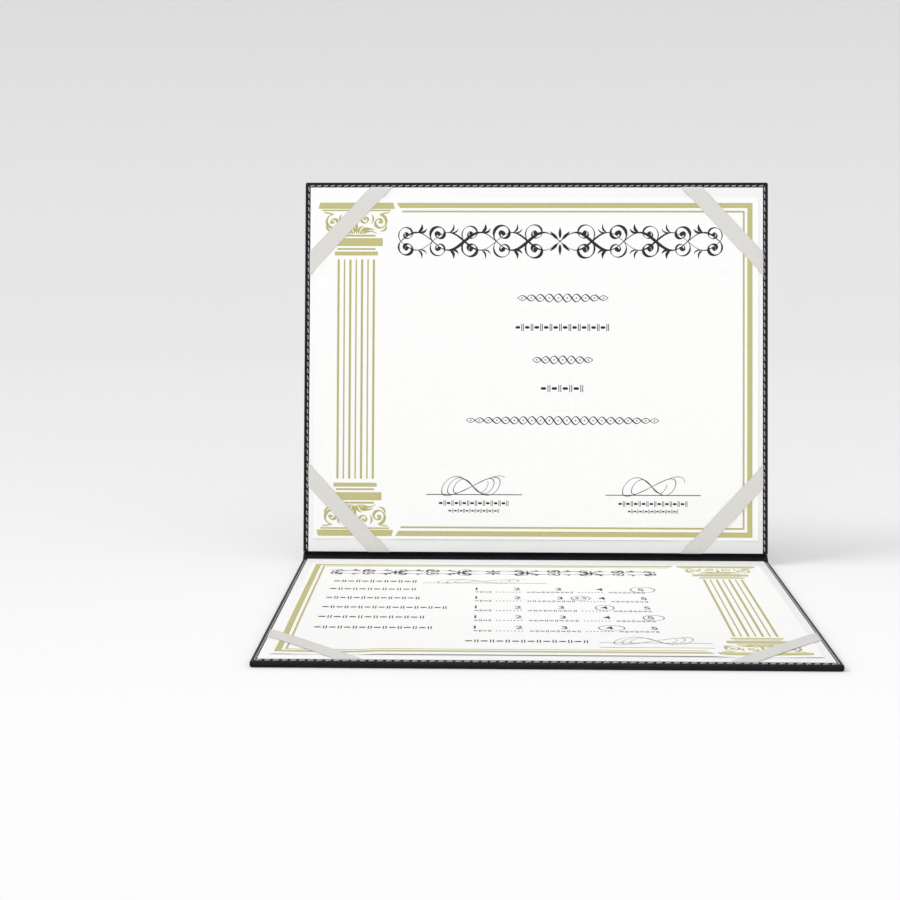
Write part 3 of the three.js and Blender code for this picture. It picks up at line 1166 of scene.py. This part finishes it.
# %% Layout of the certificate
certificate_title = {
    "middle": (16.1, 80.9), "half_waves": 5, "wave": 40.2, "swing": 5.6, "curl": 7.3, "broad": 1.0,
}
certificate_lines = {
    "bead_rows": (
        (-11.75, 47.75, 26.5, 4.6),
        (4.25, 31.75, -12.0, 4.6),
        (-59.6, -15.2, -84.4, 3.6),
        (-53.6, -21.2, -89.2, 2.6),
        (53.1, 97.0, -84.4, 3.6),
        (59.1, 91.0, -89.2, 2.6),
    ),
    "rules": ((-67.6, -7.2, -79.0), (45.1, 105.0, -79.0)),
    "flourishes": ((-58.6, -18.2, -73.6, 13.0, 3, 0.5), (54.1, 94.0, -73.6, 13.0, 2, 0.2)),
    "half_stroke": 0.25,
}
braids = (((18.0, 45.1), 57), ((18.0, 6.0), 38), ((18.0, -32.2), 121))
braid_height = 5.2
braid_stroke = 0.42


def draw_certificate(bm):
    """All black print on the certificate."""
    strokes = vine(**certificate_title) + line_strokes(**certificate_lines)
    for middle, width in braids:
        strokes += braid(middle, width, braid_height, braid_stroke)
    draw_strokes(bm, black, strokes)
    print("the certificate has", len(strokes), "pen strokes")


# %% [markdown]
# The form's numbers are Blender's own font, made a mesh and swollen a little. One in each row is ringed
# with an oval that a pen draws by hand.

# %% Numbers and rings
number_size = 8.8
number_swell = 0.0077
ring_steps = 40
ring_start = 0.6
ring_overlap = 1.06
ring_drift = 0.07
ring_widths = (0.36, 0.24)


def draw_number(bm, number, place, size=number_size):
    """A printed number with its middle at a place."""
    data = bpy.data.curves.new("number", "FONT")
    data.body = str(number)
    data.size = size
    data.extrude = (ink_high - ink_low) / 2
    data.offset = number_swell * size
    data.align_x = "CENTER"
    data.align_y = "CENTER"
    placing = Matrix.Translation((*place, stroke_level))
    add_pressed(bm, black, bpy.data.objects.new("number", data), placing, merge=True)


def ring_round(centre, wide, tall):
    """An oval drawn by hand, whose end overlaps its start."""
    points = []
    for share in shares(ring_steps):
        turn = ring_start + 2 * math.pi * ring_overlap * share
        swell = 1 + ring_drift * share
        x = centre[0] + wide / 2 * swell * math.cos(turn)
        points.append((x, centre[1] + tall / 2 * swell * math.sin(turn)))
    return with_nib(points, *ring_widths)


print("numbers are", number_size, "mm in size")

# %% [markdown]
# The form has its title, two flourishes over rules, and five rows of numbers. Each row has beads to its
# left, a ring, and smaller beads and leaders below it. A ring is given by its place across, its width and
# its height.

# %% Layout of the form
form_title = {
    "middle": (-25.7, 80.5), "half_waves": 5, "wave": 38.5, "swing": 4.1, "curl": 5.1, "broad": 1.05,
}
form_lines = {
    "bead_rows": ((-120, -70, 56.0, 6.4), (-40, 24, -79.0, 6.0)),
    "rules": ((-67, 6, 52.5), (28.5, 86.5, -81.0), (28.5, 86.5, -90.5)),
    "flourishes": ((-60, -6, 57.0, 11.0, 3, 0.3), (36, 80, -76.5, 17.0, 3, 0.8)),
    "half_stroke": 0.3,
}
number_columns = (-35.2, -11.8, 12.2, 36.0, 59.7)
number_rows = (37.6, 16.1, -5.9, -27.7, -50.1)
number_rings = (
    (60.6, 13.4, 13.4),
    (23.9, 10.4, 9.2),
    (36.1, 9.8, 11.6),
    (61.2, 10.8, 11.4),
    (37.0, 13.2, 11.0),
)
written_size = 6.0
label_left = -120.5
label_ends = (-69.5, -66.5, -50.5, -62.0, -57.0)
label_drop = 1.5
label_height = 6.0
small_beads = ((-36, -26), (-6.5, 21), (40.5, 62))
small_drop = 7.4
small_height = 4.2
leaders = ((-23.5, -8.5), (23.7, 38.5))
leader_pitch = 1.9
leader_height = 1.5


def draw_form(bm):
    """All black print on the form."""
    strokes = vine(**form_title) + line_strokes(**form_lines)
    for row, label_end, (ringed, wide, tall) in zip(number_rows, label_ends, number_rings):
        strokes += beads(label_left, label_end, row - label_drop, label_height)
        strokes.append(ring_round((ringed, row), wide, tall))
        for number, x in enumerate(number_columns, start=1):
            draw_number(bm, number, (x, row))
        for left, right in small_beads:
            strokes += beads(left, right, row - small_drop, small_height)
        for left, right in leaders:
            strokes += dashes(left, right, row - small_drop, leader_pitch, leader_height)
    draw_number(bm, 3.5, (number_rings[1][0], number_rows[1]), written_size)
    draw_strokes(bm, black, strokes)
    print("the form has", len(strokes), "pen strokes")


# %% [markdown]
# The print is drawn round the page's middle, moved by how far it lies off it, scaled to metres and laid
# on the paper, point by point.

# %% Lay the print on the paper


def print_page(half, draw_layout, column_side, shift):
    """Prints one page, with its column to the left or right."""
    page = pages[half]
    width, height, _ = page["size"] / MM
    bm = bmesh.new()
    draw_band(bm, width, height, column_side)
    draw_column(bm, width, height, column_side)
    draw_layout(bm)
    bmesh.ops.translate(bm, vec=(*shift, 0), verts=bm.verts)
    bmesh.ops.scale(bm, vec=(MM, MM, MM), verts=bm.verts)
    for vert in bm.verts:
        vert.co.z += lift_at(vert.co, page)
    printed = new_piece(f"{half}_certificate_print", bm, page["placing"], *inks)
    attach(printed, f"{half}_half")


print_page("display", draw_certificate, column_side=-1, shift=(-0.9, -0.8))
print_page("base", draw_form, column_side=1, shift=(-0.4, 1.0))

# %% [markdown]
# Satin ribbon is woven with long smooth floats, so it shines along its length and has a firm selvedge
# on both sides, which is also painted a little darker: a painted shade along the ribbon's edges. Its UV
# map holds the place across the ribbon, from 0 to 1, and along it, in widths.

# %% Satin
selvedge_and_edge_shade_from = 0.455
satin, wire = new_finish("satin_ribbon", Sheen_Weight=0.15, Sheen_Roughness=0.4, Specular_IOR_Level=0.45)
across = wire.node("ShaderNodeTexCoord", output="UV").axis(0)
threads = wire.noise((46, 2.2, 1), 2.0, "UV")
picks = wire.noise((5, 60, 1), 1.0, "UV")
off_middle = wire.maths("ABSOLUTE", across - 0.5)
selvedge_and_edge_shade = wire.maths("GREATER_THAN", off_middle, selvedge_and_edge_shade_from)
# The selvedge mask darkens the colour at both edges as painted edge shade; its roughness and bump are the
# real selvedge.
shade = threads * 0.55 + picks * 0.25 + 0.10 - selvedge_and_edge_shade * 0.14
feed(
    satin,
    Base_Color=shade.ramp(
        (0.2, (0.560, 0.547, 0.515)),
        (0.5, (0.682, 0.669, 0.638)),
        (0.8, (0.745, 0.734, 0.708)),
    ),
    Roughness=0.34 + 0.18 * picks + 0.1 * selvedge_and_edge_shade,
    Normal=(threads + picks * 0.6 + selvedge_and_edge_shade * 0.5).bump(0.03 * MM),
)
print("satin is woven")

# %% [markdown]
# A corner ribbon is cut straight, laid across the corner, folded down over the card's edges and tucked
# behind it. It starts as the stretch that shows, and its two ends are drawn out down the card's edge
# and back under it. The folds are then rounded.

# %% Folded ribbon
ribbon_width = 10 * MM
ribbon_edge_reach = 44.6 * MM
ribbon_side_reach = 48 * MM
ribbon_tail = 8 * MM
ribbon_thickness = 0.15 * MM
ribbon_cuts = 17
fold_radius = 0.22 * MM
outside = ribbon_thickness + glue_gap
tail_reach = ribbon_tail + outside
ribbon_bottom, ribbon_top = (corner.z for corner in local_box("base_ribbon_front_left", "base"))
corner_span = math.hypot(ribbon_edge_reach, ribbon_side_reach)
corner_distance = ribbon_edge_reach * ribbon_side_reach / corner_span


def ribbon_end(reach, other_reach):
    """Where the two selvedges pass over an edge of the card, and how the folded end drifts."""
    lean = reach / other_reach
    scales = [1 + offset / corner_distance for offset in (-ribbon_width / 2, ribbon_width / 2)]
    return [reach * scale + outside * lean for scale in scales], tail_reach * lean


def folded_ribbon():
    """A folded strip, its points given as distances from the card's edges at a corner."""
    (edge_near, edge_far), edge_drift = ribbon_end(ribbon_edge_reach, ribbon_side_reach)
    (side_near, side_far), side_drift = ribbon_end(ribbon_side_reach, ribbon_edge_reach)
    bm = bmesh.new()
    outline = [(edge_near, -outside), (edge_far, -outside), (-outside, side_far), (-outside, side_near)]
    verts = [bm.verts.new((*point, ribbon_top)) for point in outline]
    bm.faces.new(verts)
    folds = [bm.edges.get(verts[0:2]), bm.edges.get(verts[2:4])]
    selvedges = [bm.edges.get(verts[1:3]), bm.edges.get((verts[3], verts[0]))]
    tails = ((edge_drift, tail_reach, 0), (tail_reach, side_drift, 0))
    for edge, tail in zip(folds[:], tails):
        under, _ = draw_out(bm, [edge], (0, 0, ribbon_bottom - ribbon_top))
        draw_out(bm, under, tail)
        folds += under
    bmesh.ops.subdivide_edges(bm, edges=selvedges, cuts=ribbon_cuts, use_grid_fill=True)
    round_off(bm, folds, fold_radius, fold_steps)
    uv = bm.loops.layers.uv.new("ribbon")
    course = Vector((ribbon_edge_reach, -ribbon_side_reach)) / corner_span
    for loop in (loop for face in bm.faces for loop in face.loops):
        place = loop.vert.co.xy
        across = abs(place.x * course.y) + place.y * course.x - corner_distance
        loop[uv].uv = (across / ribbon_width + 0.5, place.dot(course) / ribbon_width)
    return bm


print("a ribbon crosses its corner over", round(corner_span / MM, 1), "mm")

# %% [markdown]
# Six such ribbons hold the two sheets. Past the sheet's edge a ribbon comes down to the card, and four of
# the six are a little slack and bow up in the middle. The corner decides which way the ribbon is turned
# over, so its faces are made to point out of the page at the end.

# %% Corner ribbons
ribbon_dip = 0.18 * MM
dip_length = 5 * MM
slack_bow = 0.22 * MM
bow_length = 20 * MM


def make_ribbon(name, half, side, at_free_edge, bow):
    """Lays a folded ribbon over one corner of a half's card."""
    bm = folded_ribbon()
    corner = Vector((side * panel_high.x, panel_high.y if at_free_edge else panel_low.y))
    for vert in bm.verts:
        from_side, from_edge_line, level = vert.co
        if level > (ribbon_top + ribbon_bottom) / 2:
            inside = min(vert.co.xy) + outside
            vert.co.z += bow * ease(inside / bow_length) - ribbon_dip * (1 - ease(inside / dip_length))
        vert.co.x = corner.x - side * from_side
        vert.co.y = corner.y + (-from_edge_line if at_free_edge else from_edge_line)
    bmesh.ops.recalc_face_normals(bm, faces=bm.faces)
    shown = max(bm.faces, key=lambda face: face.calc_center_median().z)
    if shown.normal.z < 0:
        bmesh.ops.reverse_faces(bm, faces=bm.faces)
    ribbon = new_piece(name, bm, half_frames[half], satin, sharp=60, flat=True)
    thicken(ribbon, ribbon_thickness)
    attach(ribbon, f"{half}_half")
    return ribbon


ribbon_places = [
    ("base", "front_left", 1, True, slack_bow),
    ("base", "front_right", -1, True, slack_bow),
    ("display", "top_left", -1, True, 0.0),
    ("display", "top_right", 1, True, 0.0),
    ("display", "bottom_left", -1, False, slack_bow),
    ("display", "bottom_right", 1, False, slack_bow),
]
for half, place, side, at_free_edge, bow in ribbon_places:
    ribbon = make_ribbon(f"{half}_satin_ribbon_{place}", half, side, at_free_edge, bow)
    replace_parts(ribbon, f"{half}_ribbon_{place}")

# %% [markdown]
# Sewing thread is twisted yarn. The twist follows each stitch, so it reads the stitch's UV map, which
# runs round and along it. The thread outside is warm and lies deep, and the one inside is paler.

# %% Sewing thread


def thread_finish(name, dark, light):
    """Yarn of two plies that wind round it five times along a stitch."""
    finish, wire = new_finish(name, Roughness=0.42, Sheen_Weight=0.25, Specular_IOR_Level=0.7)
    around = wire.node("ShaderNodeTexCoord", output="UV")
    twist = wire.maths("SINE", (around.axis(0) * 2 + around.axis(1) * 5) * (2 * math.pi)) * 0.5 + 0.5
    fuzz = wire.noise(2200, 2.0)
    mixed = twist * 0.6 + fuzz * 0.4
    # The twist's dark bands in the colour are painted shade in the grooves between the plies; the bump is
    # the real relief.
    feed(finish, Base_Color=mixed.ramp((0.2, dark), (0.7, light)), Normal=mixed.bump(0.08 * MM))
    return finish


inner_thread = thread_finish("inner_thread", (0.19, 0.16, 0.22), (0.60, 0.535, 0.63))
outer_thread = thread_finish("outer_thread", (0.22, 0.17, 0.115), (0.56, 0.46, 0.33))
print("two threads are spun")

# %% [markdown]
# A lockstitch shows as a short plump stitch that dives into a needle hole at each end. It is made from a
# small sphere that is drawn out, bowed and flattened. It is repeated hundreds of times, so it has few
# faces.

# %% One stitch
stitch_pitch = 4.3 * MM
stitch_gap = 1.0 * MM
stitch_width = 0.72 * MM
stitch_height = 0.80 * MM
stitch_bow = 0.14 * MM
stitch_facets = 8
stitch_fullness = 0.6


def one_stitch():
    """A stitch along X, lying in the plane Z = 0."""
    bm = bmesh.new()
    bm.loops.layers.uv.new("twist")
    bmesh.ops.create_uvsphere(
        bm, u_segments=stitch_facets, v_segments=stitch_facets, radius=0.5, calc_uvs=True
    )
    bmesh.ops.rotate(bm, verts=bm.verts, matrix=Matrix.Rotation(math.pi / 2, 3, "Y"))
    half_length = (stitch_pitch - stitch_gap) / 2
    for vert in bm.verts:
        x, y, z = vert.co
        drawn = math.copysign(abs(2 * x) ** stitch_fullness, x)
        sag = stitch_bow * drawn * drawn
        vert.co = (drawn * half_length, y * stitch_width, z * stitch_height - sag)
    mesh = bpy.data.meshes.new("stitch")
    bm.to_mesh(mesh)
    bm.free()
    return mesh


print("stitches are", round((stitch_pitch - stitch_gap) / MM, 2), "mm long")

# %% [markdown]
# A seam is a row of copies of that stitch along the three free sides of a half, each leaning a little
# across the row as a machine leaves them.

# %% Seams
stitch_lean = math.radians(8)
inner_level = thickness + 0.14 * MM
outer_level = stitch_height / 2 + 0.05 * MM


def sew(name, half, level, finish, facing):
    """Sets stitches along three sides of a half, up or down as the seam faces."""
    seam_start = local_box(f"{half}_{name}", half)[0].y
    seam_half = half_width - seam_inset
    corners = [(-seam_half, seam_start), (-seam_half, depth - seam_inset)]
    corners += [(-x, y) for x, y in reversed(corners)]
    stitch = one_stitch()
    bm = bmesh.new()
    for start, end in zip(corners, corners[1:]):
        start, end = Vector((*start, level)), Vector((*end, level))
        count = round((end - start).length / stitch_pitch)
        course = math.atan2(end.y - start.y, end.x - start.x)
        turn = Matrix.Rotation(course + stitch_lean, 4, "Z") @ Matrix.Diagonal((1, 1, facing, 1))
        for number in range(count):
            bm.from_mesh(stitch)
            fresh = bm.verts[-len(stitch.vertices):]
            place = start.lerp(end, (number + 0.5) / count)
            bmesh.ops.transform(bm, matrix=Matrix.Translation(place) @ turn, verts=fresh)
    row = new_piece(f"{half}_{name}_stitches", bm, half_frames[half], finish)
    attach(row, f"{half}_half")
    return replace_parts(row, f"{half}_{name}")


for half in half_frames:
    sew("inner_thread", half, inner_level, inner_thread, facing=1)
    sew("outer_thread", half, outer_level, outer_thread, facing=-1)

# %% [markdown]
# The stage is a pale floor that sweeps up behind. One edge is drawn out along the floor, spun a quarter
# turn and drawn up. Its colour is a painted fall-off of light with the way from the front, as on a lit
# paper roll, so the ramp reads the sum of Y and Z, which grows along the floor and on up the sweep.

# %% Stage
stage_half = 9.0
stage_front = -9.0
sweep_start = 1.6
sweep_radius = 1.2
sweep_steps = 32
wall_height = 2.0
floor_level = -0.05 * MM
fall_off_start = -0.5
fall_off_length = 4.0

backdrop, wire = new_finish("backdrop", Roughness=0.9, Specular_IOR_Level=0.0)
place = wire.places((1, 1, 1))
way = place.axis(1) + place.axis(2)
# Painted fall-off of light: the backdrop's colour darkens along the floor and up the sweep.
colour = ((way - fall_off_start) * (1 / fall_off_length)).ramp(
    (0.07, (0.985, 0.985, 0.985)),
    (0.15, (0.930, 0.929, 0.928)),
    (0.28, (0.860, 0.859, 0.857)),
    (0.46, (0.820, 0.818, 0.815)),
    (0.65, (0.752, 0.750, 0.747)),
    (0.97, (0.690, 0.688, 0.685)),
)
feed(backdrop, Base_Color=colour)


def make_stage():
    """A floor and a wall with a round sweep between them."""
    bm = bmesh.new()
    ends = [bm.verts.new((x, stage_front, floor_level)) for x in (-stage_half, stage_half)]
    edge = bm.edges.new(ends)
    floor, _ = draw_out(bm, [edge], (0, sweep_start - stage_front, 0))
    swept = bmesh.ops.spin(
        bm, geom=floor, cent=(0, sweep_start, floor_level + sweep_radius), axis=(1, 0, 0),
        dvec=(0, 0, 0), angle=math.pi / 2, steps=sweep_steps, use_merge=False,
    )["geom_last"]
    rim = [item for item in swept if isinstance(item, bmesh.types.BMEdge)]
    draw_out(bm, rim, (0, 0, wall_height))
    return new_piece("stage", bm, Matrix.Identity(4), backdrop)


make_stage()

# %% [markdown]
# Soft studio light: an even white room gives most of it. A wide lamp high on the left rakes over the
# sheets, so that every edge of paper and ribbon throws a thin shadow down and to the right. It runs
# almost along the display half, which then casts next to no shadow on the floor. A weaker lamp above the
# camera lifts the upright sheet to just under white and draws the fine shadows under its lower edges.
# Past the floor the camera sees the room as near white, which adds no light to the object.

# %% Light


def add_lamp(name, strength, spread, towards):
    """A lamp as far away as the sun, whose light spreads by some degrees."""
    data = bpy.data.lights.new(name, "SUN")
    data.energy = strength
    data.angle = math.radians(spread)
    lamp = bpy.data.objects.new(name, data)
    lamp.rotation_euler = Vector(towards).to_track_quat("-Z", "Y").to_euler()
    bpy.context.scene.collection.objects.link(lamp)


room_strength = 0.61
seen_strength = 0.97
world = bpy.data.worlds.new("studio")
bpy.context.scene.world = world
world.use_nodes = True
background = world.node_tree.nodes["Background"]
background.inputs["Color"].default_value = (1, 1, 1, 1)
wire = Wire(world.node_tree)
seen = wire.node("ShaderNodeLightPath", output="Is Camera Ray")
for ray in ("Is Glossy Ray", "Is Transmission Ray"):
    seen = seen + wire.node("ShaderNodeLightPath", output=ray)
strength = room_strength + (seen_strength - room_strength) * wire.maths("MINIMUM", seen, 1.0)
world.node_tree.links.new(strength.socket, background.inputs["Strength"])
add_lamp("raking_lamp", strength=1.0, spread=30, towards=(0.72, 0.12, -0.69))
add_lamp("front_lamp", strength=0.78, spread=12, towards=(0.03, 0.78, -0.63))
bpy.context.scene.view_settings.view_transform = "Standard"
print("light: a room of strength", room_strength, "and", len(bpy.data.lights), "lamps")
